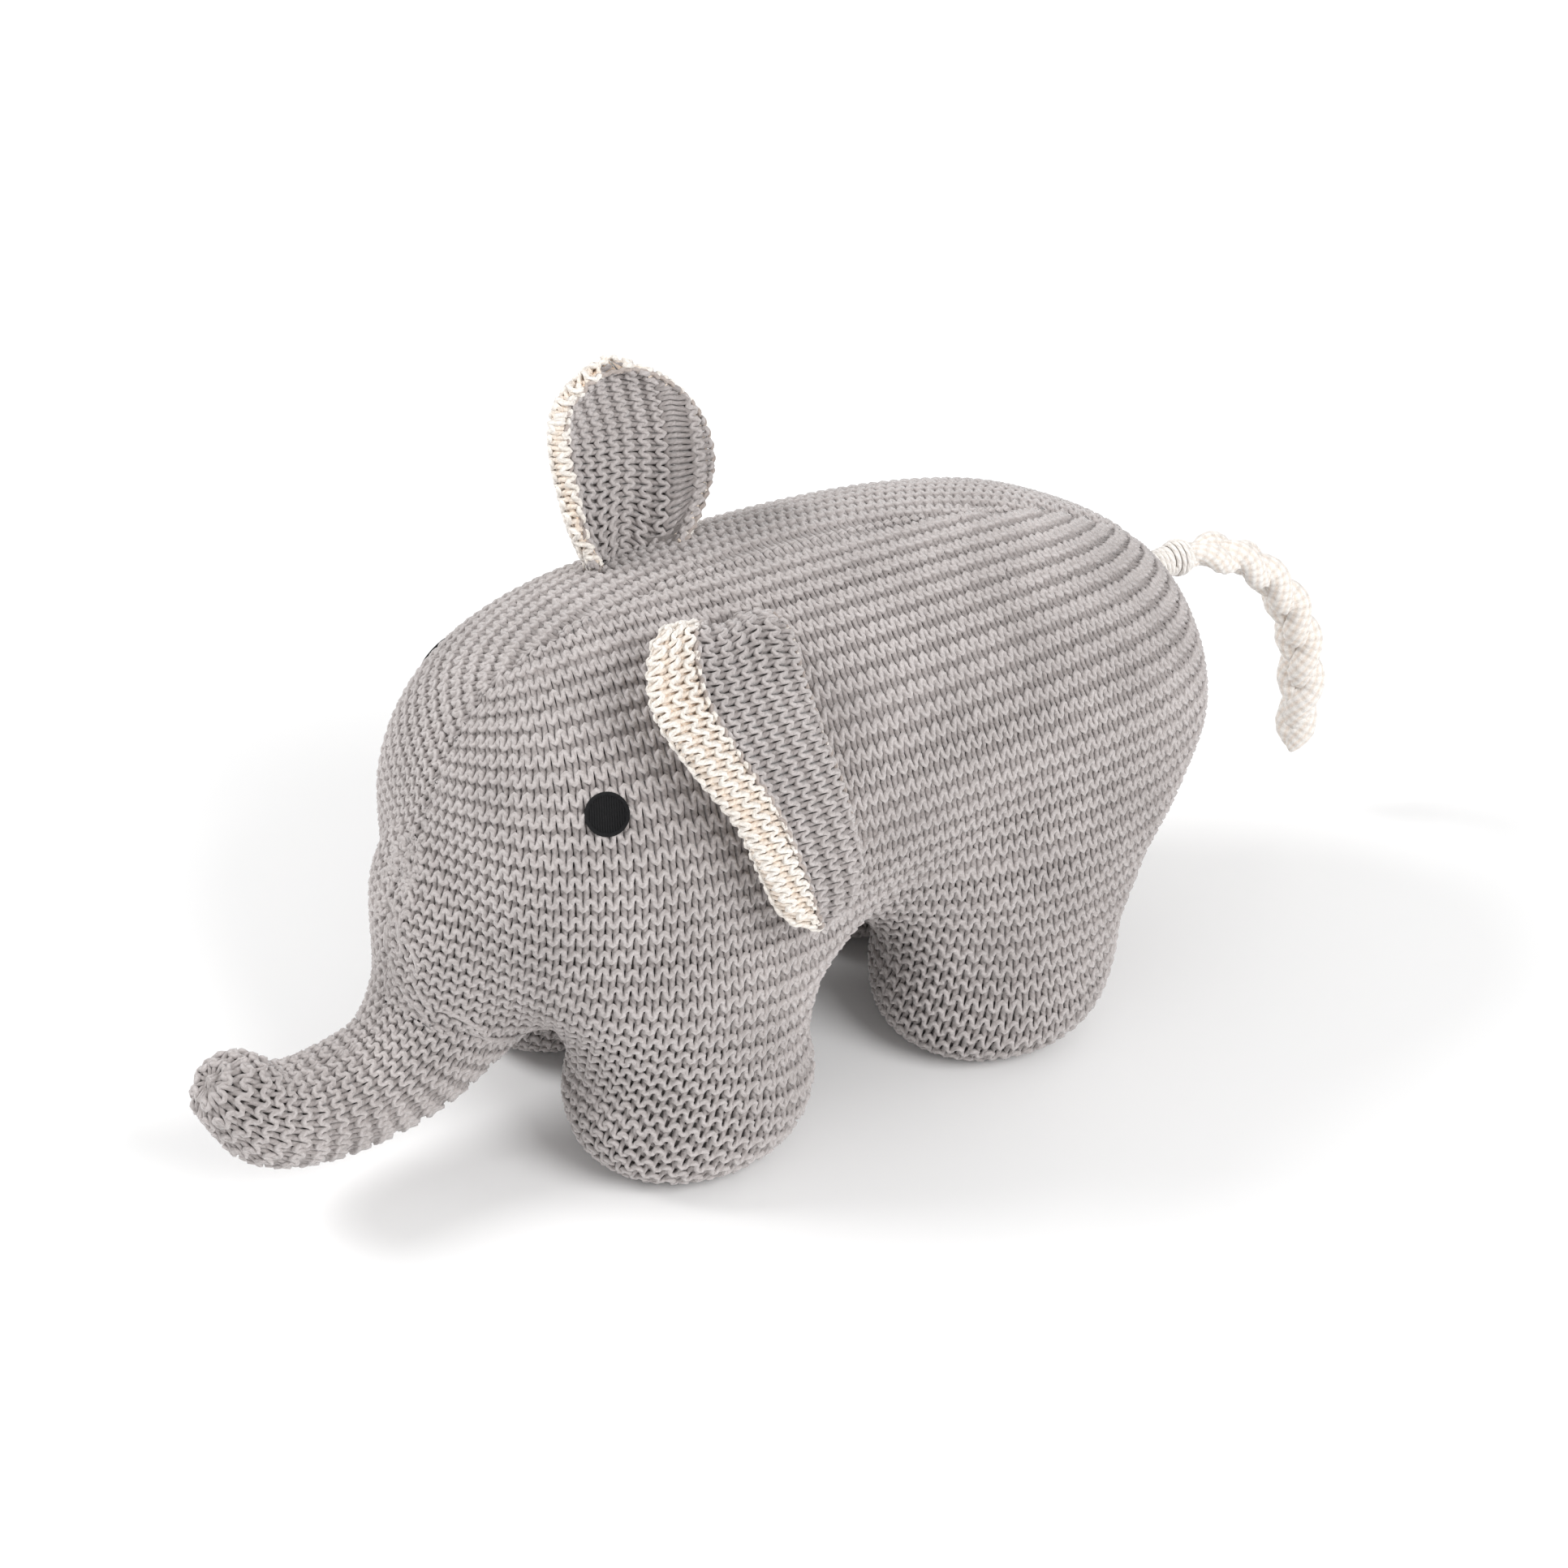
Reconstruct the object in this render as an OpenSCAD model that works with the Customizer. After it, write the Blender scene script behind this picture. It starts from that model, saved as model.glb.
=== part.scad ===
// Knitted stuffed elephant: two side panels and a belly gusset sewn round fibre stuffing,
// two double-faced ears, a braided cotton tail and two embroidered eyes.
// The elephant looks along -Y and stands on its four feet at Z = 0. Millimetres.

/* [Body] */
// Greatest width of the body across the flanks
body_w = 102; // [92:1:108]
// Thickness of the knitted skin
skin_t = 2.4; // [2:0.1:3]
// Distance from the middle to each leg's own middle line
leg_x = 28; // [27.6:0.1:29]

/* [Trunk] */
// Radius of the ball at the trunk's tip
trunk_tip_r = 9.5; // [8.5:0.5:10.5]
// How far the trunk bends up before it stops
trunk_up_deg = 30; // [10:1:34]
// How far the trunk bends down before it stops
trunk_down_deg = 12; // [5:1:15]

/* [Ears] */
// Thickness of an ear across its wadding
ear_t = 7.6; // [6.6:0.2:8]

/* [Tail] */
// Diameter of the braided tail
tail_d = 9.4; // [8:0.1:9.6]

/* [Eyes] */
// Diameter of an embroidered eye
eye_d = 9.2; // [8:0.2:10]

/* [Hidden] */

// The elephant's own middle plane and shoulder station, moved so that the box stands on the origin
mid_x = -4.7;
mid_y = 32.3;

knit_grey = [0.74, 0.73, 0.71];
knit_cream = [0.95, 0.92, 0.86];
cotton_cream = [0.97, 0.92, 0.86];
fibre_white = [0.97, 0.97, 0.95];
thread_grey = [0.62, 0.61, 0.60];
eye_black = [0.06, 0.06, 0.06];

gap = 0.2;           // between pieces of one body
joint_gap = 0.4;     // between pieces that turn against each other
slice_t = 0.02;
ring_sides = 28;
big = 260;

// Slices across the body, front to rear: [y, half width, top, bottom]
half_w = body_w / 2;
TORSO = [
  [-101, 0.20 * half_w, 92, 66],
  [-96, 0.58 * half_w, 106, 52],
  [-84, 0.80 * half_w, 122, 41],
  [-62, 0.97 * half_w, 130, 36],
  [-32, half_w, 132, 36],
  [0, half_w, 133, 38],
  [30, half_w, 130, 40],
  [55, 0.96 * half_w, 125, 42],
  [72, 0.86 * half_w, 117, 48],
  [86, 0.66 * half_w, 107, 56],
  [97, 0.22 * half_w, 92, 70],
];
neck_y = -30;

// Trunk balls in the middle plane: [y, z, radius]
TRUNK = [[-86, 65, 28], [-97, 44, 19], [-111, 29, 14.5], [-130, 25, 13],
         [-144, 28, 11.5], [-152, 37, trunk_tip_r]];
trunk_pivot = [0, -94, 48];
trunk_lean = 55;
socket_r = 22.5;

// Slices of a leg, sole to hip: [z, half width, half length]
FRONT_LEG = [[0, 12, 14], [3, 19, 22.5], [9, 24, 28], [18, 26, 30], [30, 25, 28.5],
             [44, 25, 32], [60, 24, 38], [82, 14, 24]];
REAR_LEG = [[0, 12, 13.5], [3, 19, 21], [9, 24, 26.5], [18, 26, 28.5], [30, 25, 27.5],
            [44, 25, 32], [60, 24, 37], [82, 14, 24]];
front_leg_y = -53;
rear_leg_y = 32;

// The gusset covers the belly and the inner half of each leg
gusset_half_w = 22;
gusset_top = 44;
gusset_front_y = -70;
gusset_rear_y = 66;

// Ear slices, root to tip: [x, y, z, width, lift of the front edge in degrees]
EAR_LEFT = [
  [21.8, -37, 131.8, 20, 0],
  [29.3, -43.5, 133.4, 31, 7],
  [38, -46, 127, 35, 5],
  [46, -45, 117.5, 32, 3],
  [53, -42.5, 105, 28, 2],
  [57.4, -39.3, 91, 24, 0],
  [58.4, -36.8, 78.8, 14, 0],
];
EAR_RIGHT = [
  [-21.8, -37, 131.8, 20, 0],
  [-25.6, -34.4, 137.6, 30, 12],
  [-30.2, -31, 146.2, 40, 14],
  [-33.1, -29.8, 155.4, 41, 14],
  [-33.3, -32.2, 164.2, 34, 12],
  [-31.8, -34.6, 170.6, 18, 10],
];
ear_sides = 14;
ear_skin_t = 2.4;

// The tail leaves the rump, falls in one curve and ends just above the floor
tail_pivot = [0, 102.4, 88.4];
tail_root_r = 4.6;
tail_anchor_depth = 17;
TAIL_ROUTE = [
  [0, 107.4, 87.8], [0, 112, 86.6], [0, 118, 84], [0, 124, 80], [0, 130, 74.4],
  [0, 135, 68], [0, 139, 61.2], [0, 141.8, 54.4], [0, 143.6, 47.4], [0, 144.5, 40.4],
  [0, 144.8, 34], [0, 144.6, 28], [0, 144, 22.6], [0, 143.2, 17.4],
];
tail_sides = 10;

eye_pos = [35.3, -77.3, 105.4];
eye_t = 1.2;

module placed() {
  translate([mid_x, mid_y, 0]) children();
}

module body_slice(i, inset) {
  last = len(TORSO) - 1;
  end_shift = i == 0 ? inset : i == last ? -inset : 0;
  s = TORSO[i];
  translate([0, s[0] + end_shift, (s[2] + s[3]) / 2])
    rotate([90, 0, 0])
      scale([s[1] - inset, (s[2] - s[3]) / 2 - inset, 1])
        cylinder(r = 1, h = slice_t, center = true, $fn = ring_sides);
}

module torso_form(inset) {
  for (i = [0 : len(TORSO) - 2])
    hull() {
      body_slice(i, inset);
      body_slice(i + 1, inset);
    }
}

module leg_slice(s, side, y, inset) {
  floor_shift = s[0] == 0 ? inset : 0;
  translate([side * leg_x, y, s[0] + floor_shift + slice_t / 2])
    scale([s[1] - inset, s[2] - inset, 1])
      cylinder(r = 1, h = slice_t, center = true, $fn = ring_sides);
}

module leg_form(slices, side, y, inset) {
  for (i = [0 : len(slices) - 2])
    hull() {
      leg_slice(slices[i], side, y, inset);
      leg_slice(slices[i + 1], side, y, inset);
    }
}

module legs_form(inset) {
  for (side = [-1, 1]) {
    leg_form(FRONT_LEG, side, front_leg_y, inset);
    leg_form(REAR_LEG, side, rear_leg_y, inset);
  }
}

module trunk_ball(i, inset) {
  translate([0, TRUNK[i][0], TRUNK[i][1]])
    sphere(r = TRUNK[i][2] - inset, $fn = 24);
}

module trunk_chain(first, last, inset) {
  for (i = [first : last - 1])
    hull() {
      trunk_ball(i, inset);
      trunk_ball(i + 1, inset);
    }
}

// Everything on the trunk's side of the plane through its pivot, the plane turned by some degrees
module beyond_trunk_root(turn) {
  translate(trunk_pivot)
    rotate([trunk_lean + turn, 0, 0])
      translate([-big / 2, -big, -big / 2])
        cube(big);
}

module trunk_socket(r) {
  translate(trunk_pivot) sphere(r = r, $fn = 40);
}

// What the free trunk sweeps through outside its socket
module trunk_room() {
  sweep_r = 38;
  intersection() {
    union() {
      beyond_trunk_root(-trunk_up_deg - 1);
      beyond_trunk_root(trunk_down_deg + 1);
    }
    trunk_socket(sweep_r);
  }
}

// Head, torso, legs and the stump of the trunk as one closed form
module root_form(inset) {
  torso_form(inset);
  legs_form(inset);
  trunk_chain(0, 1, inset);
}

// The free trunk, with the round end that turns in the socket
module trunk_part() {
  intersection() {
    children();
    union() {
      beyond_trunk_root(0);
      trunk_socket(socket_r - joint_gap);
    }
  }
}

module side_half(side, margin) {
  translate([side > 0 ? margin : -margin - big, -big, -1]) cube([big, 2 * big, big]);
}

module gusset_zone(grow) {
  translate([-gusset_half_w - grow, gusset_front_y - grow, -1])
    cube([2 * (gusset_half_w + grow), gusset_rear_y - gusset_front_y + 2 * grow,
          gusset_top + 1 + grow]);
}

module root_shell() {
  difference() {
    root_form(0);
    root_form(skin_t);
    trunk_socket(socket_r);
    trunk_room();
  }
}

module side_skin(side) {
  difference() {
    intersection() {
      root_shell();
      side_half(side, gap / 2);
    }
    gusset_zone(gap / 2);
  }
}

module trunk_skin(side) {
  trunk_part()
    difference() {
      intersection() {
        trunk_chain(0, len(TRUNK) - 1, 0);
        side_half(side, gap / 2);
      }
      trunk_chain(0, len(TRUNK) - 1, skin_t);
    }
}

module leg_fill(slices, side, y) {
  difference() {
    leg_form(slices, side, y, skin_t + gap);
    torso_form(skin_t);
  }
}

module head_part(rear_edge) {
  translate([-big / 2, rear_edge - big, -1]) cube(big);
}

module eye_disc(side) {
  lean_out = 66;
  lean_front = 24;
  translate([side * eye_pos[0], eye_pos[1], eye_pos[2]])
    rotate([0, 0, -side * lean_front])
      rotate([0, side * lean_out, 0])
        cylinder(d = eye_d, h = 2 * eye_t, center = true, $fn = 32);
}

module eye(side) {
  difference() {
    eye_disc(side);
    torso_form(-gap);
  }
}

module spine_thread() {
  thread_r = 0.4;
  first = 2;
  last = len(TORSO) - 2;
  for (i = [first : last - 1])
    hull() {
      translate([0, TORSO[i][0], TORSO[i][2] + thread_r + gap]) sphere(r = thread_r, $fn = 8);
      translate([0, TORSO[i + 1][0], TORSO[i + 1][2] + thread_r + gap]) sphere(r = thread_r, $fn = 8);
    }
}

// One end of an ear slice: end -1 is the front edge, +1 the rear edge
function ear_end(s, end, inset) =
  [s[0], s[1] + end * (s[3] / 2 - ear_t / 2) * cos(s[4]), s[2] - end * (s[3] / 2 - ear_t / 2) * sin(s[4])];

module ear_slice(slices, i, inset) {
  last = len(slices) - 1;
  r = ear_t / 2 * (i == 0 ? 0.8 : i == last ? 0.85 : 1) - inset;
  hull()
    for (end = [-1, 1])
      translate(ear_end(slices[i], end)) sphere(r = r, $fn = ear_sides);
}

module ear_form(slices, inset) {
  for (i = [0 : len(slices) - 2])
    hull() {
      ear_slice(slices, i, inset);
      ear_slice(slices, i + 1, inset);
    }
}

// Direction across the ear in XZ at slice i, towards its grey face
function ear_across(slices, i, grey_side) =
  let (a = slices[max(i - 1, 0)], b = slices[min(i + 1, len(slices) - 1)],
       d = [b[0] - a[0], b[2] - a[2]], n = norm(d))
  grey_side * [-d[1] / n, 0, d[0] / n];

// The half of space on an ear's grey side, made as one slab for each pair of slices
module ear_grey_zone(slices, grey_side, lift) {
  reach = 14;
  last = len(slices) - 1;
  for (i = [0 : last - 1])
    hull()
      for (j = [i, i + 1], end = [-1, 1], out = [lift, reach]) {
        n = ear_across(slices, j, grey_side);
        along = [n[2], 0, -n[0]] * grey_side * (j == 0 ? -8 : j == last ? 8 : 0);
        s = slices[j];
        edge = [0, end * (s[3] / 2 + 8) * cos(s[4]), -end * (s[3] / 2 + 8) * sin(s[4])];
        translate([s[0], s[1], s[2]] + edge + n * out + along) cube(slice_t, center = true);
      }
}

module ear_back(slices, grey_side) {
  intersection() {
    difference() {
      ear_form(slices, 0);
      ear_form(slices, ear_skin_t);
    }
    ear_grey_zone(slices, grey_side, gap / 2);
  }
}

module ear_front(slices, grey_side) {
  difference() {
    ear_form(slices, 0);
    ear_form(slices, ear_skin_t);
    ear_grey_zone(slices, grey_side, -gap / 2);
  }
}

// A ring of points round a route point, square to the route there
function tail_ring(i) =
  let (n = len(TAIL_ROUTE), a = TAIL_ROUTE[max(i - 1, 0)], b = TAIL_ROUTE[min(i + 1, n - 1)],
       d = (b - a) / norm(b - a), up = [0, -d[2], d[1]],
       r = tail_d / 2 * (i == n - 1 ? 0.72 : i == 0 ? 0.9 : 1))
  [for (k = [0 : tail_sides - 1])
    TAIL_ROUTE[i] + r * (cos(360 * k / tail_sides) * [1, 0, 0] + sin(360 * k / tail_sides) * up)];

module tail_tube() {
  n = len(TAIL_ROUTE);
  s = tail_sides;
  points = [for (i = [0 : n - 1]) each tail_ring(i)];
  sides = [for (i = [0 : n - 2], k = [0 : s - 1])
    [i * s + k, (i + 1) * s + k, (i + 1) * s + (k + 1) % s, i * s + (k + 1) % s]];
  ends = [[for (k = [0 : s - 1]) k], [for (k = [0 : s - 1]) (n - 1) * s + s - 1 - k]];
  polyhedron(points, concat(sides, ends), convexity = 6);
}

module body_skin_left() { color(knit_grey) placed() side_skin(1); }
module body_skin_right() { color(knit_grey) placed() side_skin(-1); }

module belly_gusset() {
  color(knit_grey) placed()
    intersection() {
      root_shell();
      gusset_zone(-gap / 2);
    }
}

module spine_seam_thread() { color(thread_grey) placed() spine_thread(); }

module head_fill() {
  color(fibre_white) placed()
    difference() {
      intersection() {
        union() {
          torso_form(skin_t + gap);
          trunk_chain(0, 1, skin_t + gap);
        }
        head_part(neck_y - gap / 2);
      }
      trunk_socket(socket_r);
      trunk_room();
    }
}

module torso_fill() {
  pocket_r = 6;
  channel_r = 4;
  color(fibre_white) placed()
    difference() {
      torso_form(skin_t + gap);
      head_part(neck_y + gap / 2);
      translate([0, tail_pivot[1] - tail_anchor_depth, tail_pivot[2]]) {
        sphere(r = pocket_r, $fn = 32);
        rotate([-90, 0, 0]) cylinder(r = channel_r, h = tail_anchor_depth, $fn = 24);
      }
    }
}

module leg_fill_front_left() { color(fibre_white) placed() leg_fill(FRONT_LEG, 1, front_leg_y); }
module leg_fill_front_right() { color(fibre_white) placed() leg_fill(FRONT_LEG, -1, front_leg_y); }
module leg_fill_rear_left() { color(fibre_white) placed() leg_fill(REAR_LEG, 1, rear_leg_y); }
module leg_fill_rear_right() { color(fibre_white) placed() leg_fill(REAR_LEG, -1, rear_leg_y); }
module eye_left() { color(eye_black) placed() eye(1); }
module eye_right() { color(eye_black) placed() eye(-1); }
module trunk_skin_left() { color(knit_grey) placed() trunk_skin(1); }
module trunk_skin_right() { color(knit_grey) placed() trunk_skin(-1); }
module trunk_fill() {
  color(fibre_white) placed()
    trunk_part() trunk_chain(0, len(TRUNK) - 1, skin_t + gap);
}

module ear_left_back() { color(knit_grey) placed() ear_back(EAR_LEFT, 1); }
module ear_left_front() { color(knit_cream) placed() ear_front(EAR_LEFT, 1); }
module ear_left_wadding() { color(fibre_white) placed() ear_form(EAR_LEFT, ear_skin_t + gap); }
module ear_right_back() { color(knit_grey) placed() ear_back(EAR_RIGHT, -1); }
module ear_right_front() { color(knit_cream) placed() ear_front(EAR_RIGHT, -1); }
module ear_right_wadding() { color(fibre_white) placed() ear_form(EAR_RIGHT, ear_skin_t + gap); }

module tail_anchor() {
  knot_r = 5.6;
  color(cotton_cream) placed()
    translate([0, tail_pivot[1] - tail_anchor_depth, tail_pivot[2]]) sphere(r = knot_r, $fn = 32);
}

module tail_root() { color(cotton_cream) placed() translate(tail_pivot) sphere(r = tail_root_r, $fn = 32); }
module tail_braid() { color(cotton_cream) placed() tail_tube(); }

body_skin_left();
body_skin_right();
belly_gusset();
spine_seam_thread();
head_fill();
torso_fill();
leg_fill_front_left();
leg_fill_front_right();
leg_fill_rear_left();
leg_fill_rear_right();
eye_left();
eye_right();
trunk_skin_left();
trunk_skin_right();
trunk_fill();
ear_left_back();
ear_left_front();
ear_left_wadding();
ear_right_back();
ear_right_front();
ear_right_wadding();
tail_anchor();
tail_root();
tail_braid();
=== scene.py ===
import math

import bpy
import numpy as np
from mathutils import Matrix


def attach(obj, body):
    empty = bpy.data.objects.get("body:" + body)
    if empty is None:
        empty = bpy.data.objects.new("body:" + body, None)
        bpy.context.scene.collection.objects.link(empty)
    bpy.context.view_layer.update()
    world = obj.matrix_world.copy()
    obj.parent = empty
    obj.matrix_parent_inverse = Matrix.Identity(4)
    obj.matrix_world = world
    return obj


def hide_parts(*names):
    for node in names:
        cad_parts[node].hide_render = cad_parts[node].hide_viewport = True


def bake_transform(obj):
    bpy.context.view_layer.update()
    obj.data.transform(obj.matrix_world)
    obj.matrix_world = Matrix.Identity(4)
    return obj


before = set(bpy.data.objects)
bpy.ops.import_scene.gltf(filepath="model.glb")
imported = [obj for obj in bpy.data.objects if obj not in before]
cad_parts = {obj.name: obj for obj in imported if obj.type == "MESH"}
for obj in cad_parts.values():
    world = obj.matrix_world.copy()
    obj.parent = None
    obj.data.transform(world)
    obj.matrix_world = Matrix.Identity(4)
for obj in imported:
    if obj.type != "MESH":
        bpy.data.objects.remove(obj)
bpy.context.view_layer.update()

import openvdb
from mathutils import Vector

RNG = np.random.default_rng(11)

# The elephant is made in its own millimetres: X is its left, -Y is ahead, Z is up, and the floor
# is at Z = 0. SHIFT moves it into the frame, where the whole box stands on the origin.
MM = 0.001
SHIFT = np.array([-4.7, 32.3, 0.0])

# Slices across the body, front to rear: y, half width, top, bottom
TORSO = np.array([
    (-103, 12, 92, 62), (-97, 31.5, 106, 50), (-84, 42.5, 122, 41), (-62, 49.8, 130, 36),
    (-32, 51, 132, 36), (0, 51, 130.3, 38), (30, 51, 125.6, 40), (55, 49.5, 119, 39),
    (72, 45, 111, 41), (86, 34, 101.5, 45), (97, 12, 88, 62)], float)
TORSO_MIDDLE_Y = -3.5
TORSO_HALF_LENGTH = 101
# Slices of a leg, sole to hip: z, half width, half length
FRONT_LEG = np.array([
    (0, 12, 14), (3, 19, 22.5), (9, 24, 28), (18, 26, 30), (30, 25, 28.5), (44, 25, 32),
    (60, 24, 38), (82, 14, 24)], float)
REAR_LEG = np.array([
    (0, 13, 15), (3, 20.5, 22.5), (9, 25.5, 28), (18, 27.3, 30), (30, 26.5, 31), (44, 26, 36.5),
    (60, 25, 40.5), (82, 14, 24)], float)
LEG_X = 28.0
FRONT_LEG_Y = -53.0
REAR_LEG_Y = 29.6
# How far back a hind leg's middle moves for each millimetre up
REAR_LEG_LEAN = 0.10
SOLE_Z = 0.4
HIP_Z = 80
# Trunk balls in the middle plane: y, z, radius
TRUNK = np.array([(-86, 65, 28), (-97, 44, 19), (-111, 29, 14.5), (-130, 25, 13),
                  (-144.5, 28, 12), (-152.5, 37, 10.3)], float)
TRUNK_PIVOT = np.array([0.0, -94.0, 48.0])
TRUNK_LEAN = math.radians(55)
# Out of the head along the trunk at its pivot
TRUNK_OUT = np.array([0.0, -math.cos(TRUNK_LEAN), -math.sin(TRUNK_LEAN)])
# How wide the soft joins are: at the torso's ends, at the legs and at the trunk
END_JOIN = 7
LEG_JOIN = 13
TRUNK_JOIN = 8

# The knit: one stitch along a row, and one row of two that make a ridge
STITCH = 2.85
ROW = 2.27
YARN_R = 0.69
# How far the yarn stands out of the form that its rows are laid on
KNIT_RISE = 1.35


def to_frame(points):
    """Own millimetres to metres in the frame."""
    return (np.asarray(points, float) + SHIFT) * MM


def unit(v):
    length = np.linalg.norm(v, axis=-1, keepdims=True)
    return v / np.maximum(length, 1e-9)


def lengths_along(points):
    """How far along a line each of its points is."""
    steps = np.linalg.norm(np.diff(points, axis=0), axis=1)
    return np.concatenate([[0], np.cumsum(steps)])


def between(where, places, rows):
    """Rows of an array, mixed for the wanted places."""
    return np.column_stack([np.interp(where, places, column) for column in rows.T])


def smooth_curve(points, per_span=8):
    """Catmull-Rom through the rows of an array, open at both ends."""
    points = np.asarray(points, float)
    ends = np.vstack([2 * points[0] - points[1], points, 2 * points[-1] - points[-2]])
    out = []
    for i in range(len(points) - 1):
        a, b, c, d = ends[i:i + 4]
        t = np.arange(per_span)[:, None] / per_span
        out.append(0.5 * (2 * b + (c - a) * t + (2 * a - 5 * b + 4 * c - d) * t ** 2
                          + (3 * b - a - 3 * c + d) * t ** 3))
    return np.vstack(out + [points[-1:]])


# -------- the body's form

TORSO_FINE = smooth_curve(TORSO)
LEG_FINE = {"front": smooth_curve(FRONT_LEG), "rear": smooth_curve(REAR_LEG)}
TRUNK_FINE = smooth_curve(TRUNK, 10)


def smooth_min(a, b, k):
    h = np.clip(0.5 + 0.5 * (b - a) / k, 0, 1)
    return b + (a - b) * h - k * h * (1 - h)


def smooth_max(a, b, k):
    return -smooth_min(-a, -b, k)


def ellipse_distance(x, y, half_x, half_y):
    """Signed distance along the ray from the middle of an ellipse."""
    r = np.sqrt((x / half_x) ** 2 + (y / half_y) ** 2) + 1e-6
    return np.sqrt(x * x + y * y) * (1 - 1 / r)


def torso_distance(p):
    t = TORSO_FINE
    y = p[:, 1]
    half = np.interp(y, t[:, 0], t[:, 1])
    top = np.interp(y, t[:, 0], t[:, 2])
    bottom = np.interp(y, t[:, 0], t[:, 3])
    round_part = ellipse_distance(p[:, 0], p[:, 2] - (top + bottom) / 2, half, (top - bottom) / 2)
    ends = np.abs(y - TORSO_MIDDLE_Y) - TORSO_HALF_LENGTH
    return smooth_max(round_part, ends, END_JOIN)


def leg_distance(p, which, y0):
    t = LEG_FINE[which]
    z = p[:, 2]
    half_w = np.interp(z, t[:, 0], t[:, 1])
    half_l = np.interp(z, t[:, 0], t[:, 2])
    middle = y0 + (REAR_LEG_LEAN * z if which == "rear" else 0)
    sides = ellipse_distance(np.abs(p[:, 0]) - LEG_X, p[:, 1] - middle, half_w, half_l)
    return np.maximum(np.maximum(sides, SOLE_Z - z), z - HIP_Z)


def trunk_distance(p):
    best = np.full(len(p), 1e3)
    for y, z, r in TRUNK_FINE:
        d = np.sqrt(p[:, 0] ** 2 + (p[:, 1] - y) ** 2 + (p[:, 2] - z) ** 2) - r
        best = np.minimum(best, d)
    return best


def body_distance(p):
    """How far outside the body's smooth form each point is."""
    d = torso_distance(p)
    legs = np.minimum(leg_distance(p, "front", FRONT_LEG_Y), leg_distance(p, "rear", REAR_LEG_Y))
    d = smooth_min(d, legs, LEG_JOIN)
    return smooth_min(d, trunk_distance(p), TRUNK_JOIN) + KNIT_RISE


def gradient(p, h=0.4):
    """Which way is out of the body's form, by differences over h."""
    g = np.empty_like(p)
    for k in range(3):
        step = np.zeros(3)
        step[k] = h
        g[:, k] = (body_distance(p + step) - body_distance(p - step)) / (2 * h)
    return g


def onto_surface(p, level=0.0, rounds=3):
    """Move points along the form's gradient onto one of its levels."""
    for _ in range(rounds):
        g = gradient(p)
        size = np.maximum((g * g).sum(1), 0.2)
        p = p - g * ((body_distance(p) - level) / size)[:, None]
    return p


# The box that forms are sampled in
GRID_LOW = np.array([-66.0, -172.0, -8.0])
GRID_HIGH = np.array([66.0, 108.0, 146.0])


def level_surface(f, level, step):
    """Points, quads and triangles of one level of a distance function, by marching over a grid."""
    axes = [np.arange(lo, hi, step) for lo, hi in zip(GRID_LOW, GRID_HIGH)]
    shape = [len(a) for a in axes]
    field = np.empty(shape, np.float32)
    for i, x in enumerate(axes[0]):
        y, z = np.meshgrid(axes[1], axes[2], indexing="ij")
        p = np.column_stack([np.full(y.size, x), y.ravel(), z.ravel()])
        field[i] = (f(p) - level).reshape(y.shape)
    grid = openvdb.FloatGrid(100.0)
    grid.copyFromArray(field)
    points, tris, quads = grid.convertToPolygons(0.0, 0.0)
    return np.asarray(points, float) * step + GRID_LOW, np.asarray(quads), np.asarray(tris)


def trunk_side(p):
    """Millimetres past the trunk's pivot, along the trunk."""
    return (p - TRUNK_PIVOT) @ TRUNK_OUT


# -------- rows of knitting over the form

def triangles_of(quads, tris):
    parts = [quads[:, [0, 1, 2]], quads[:, [0, 2, 3]]]
    if len(tris):
        parts.append(tris)
    return np.vstack(parts)


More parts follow.
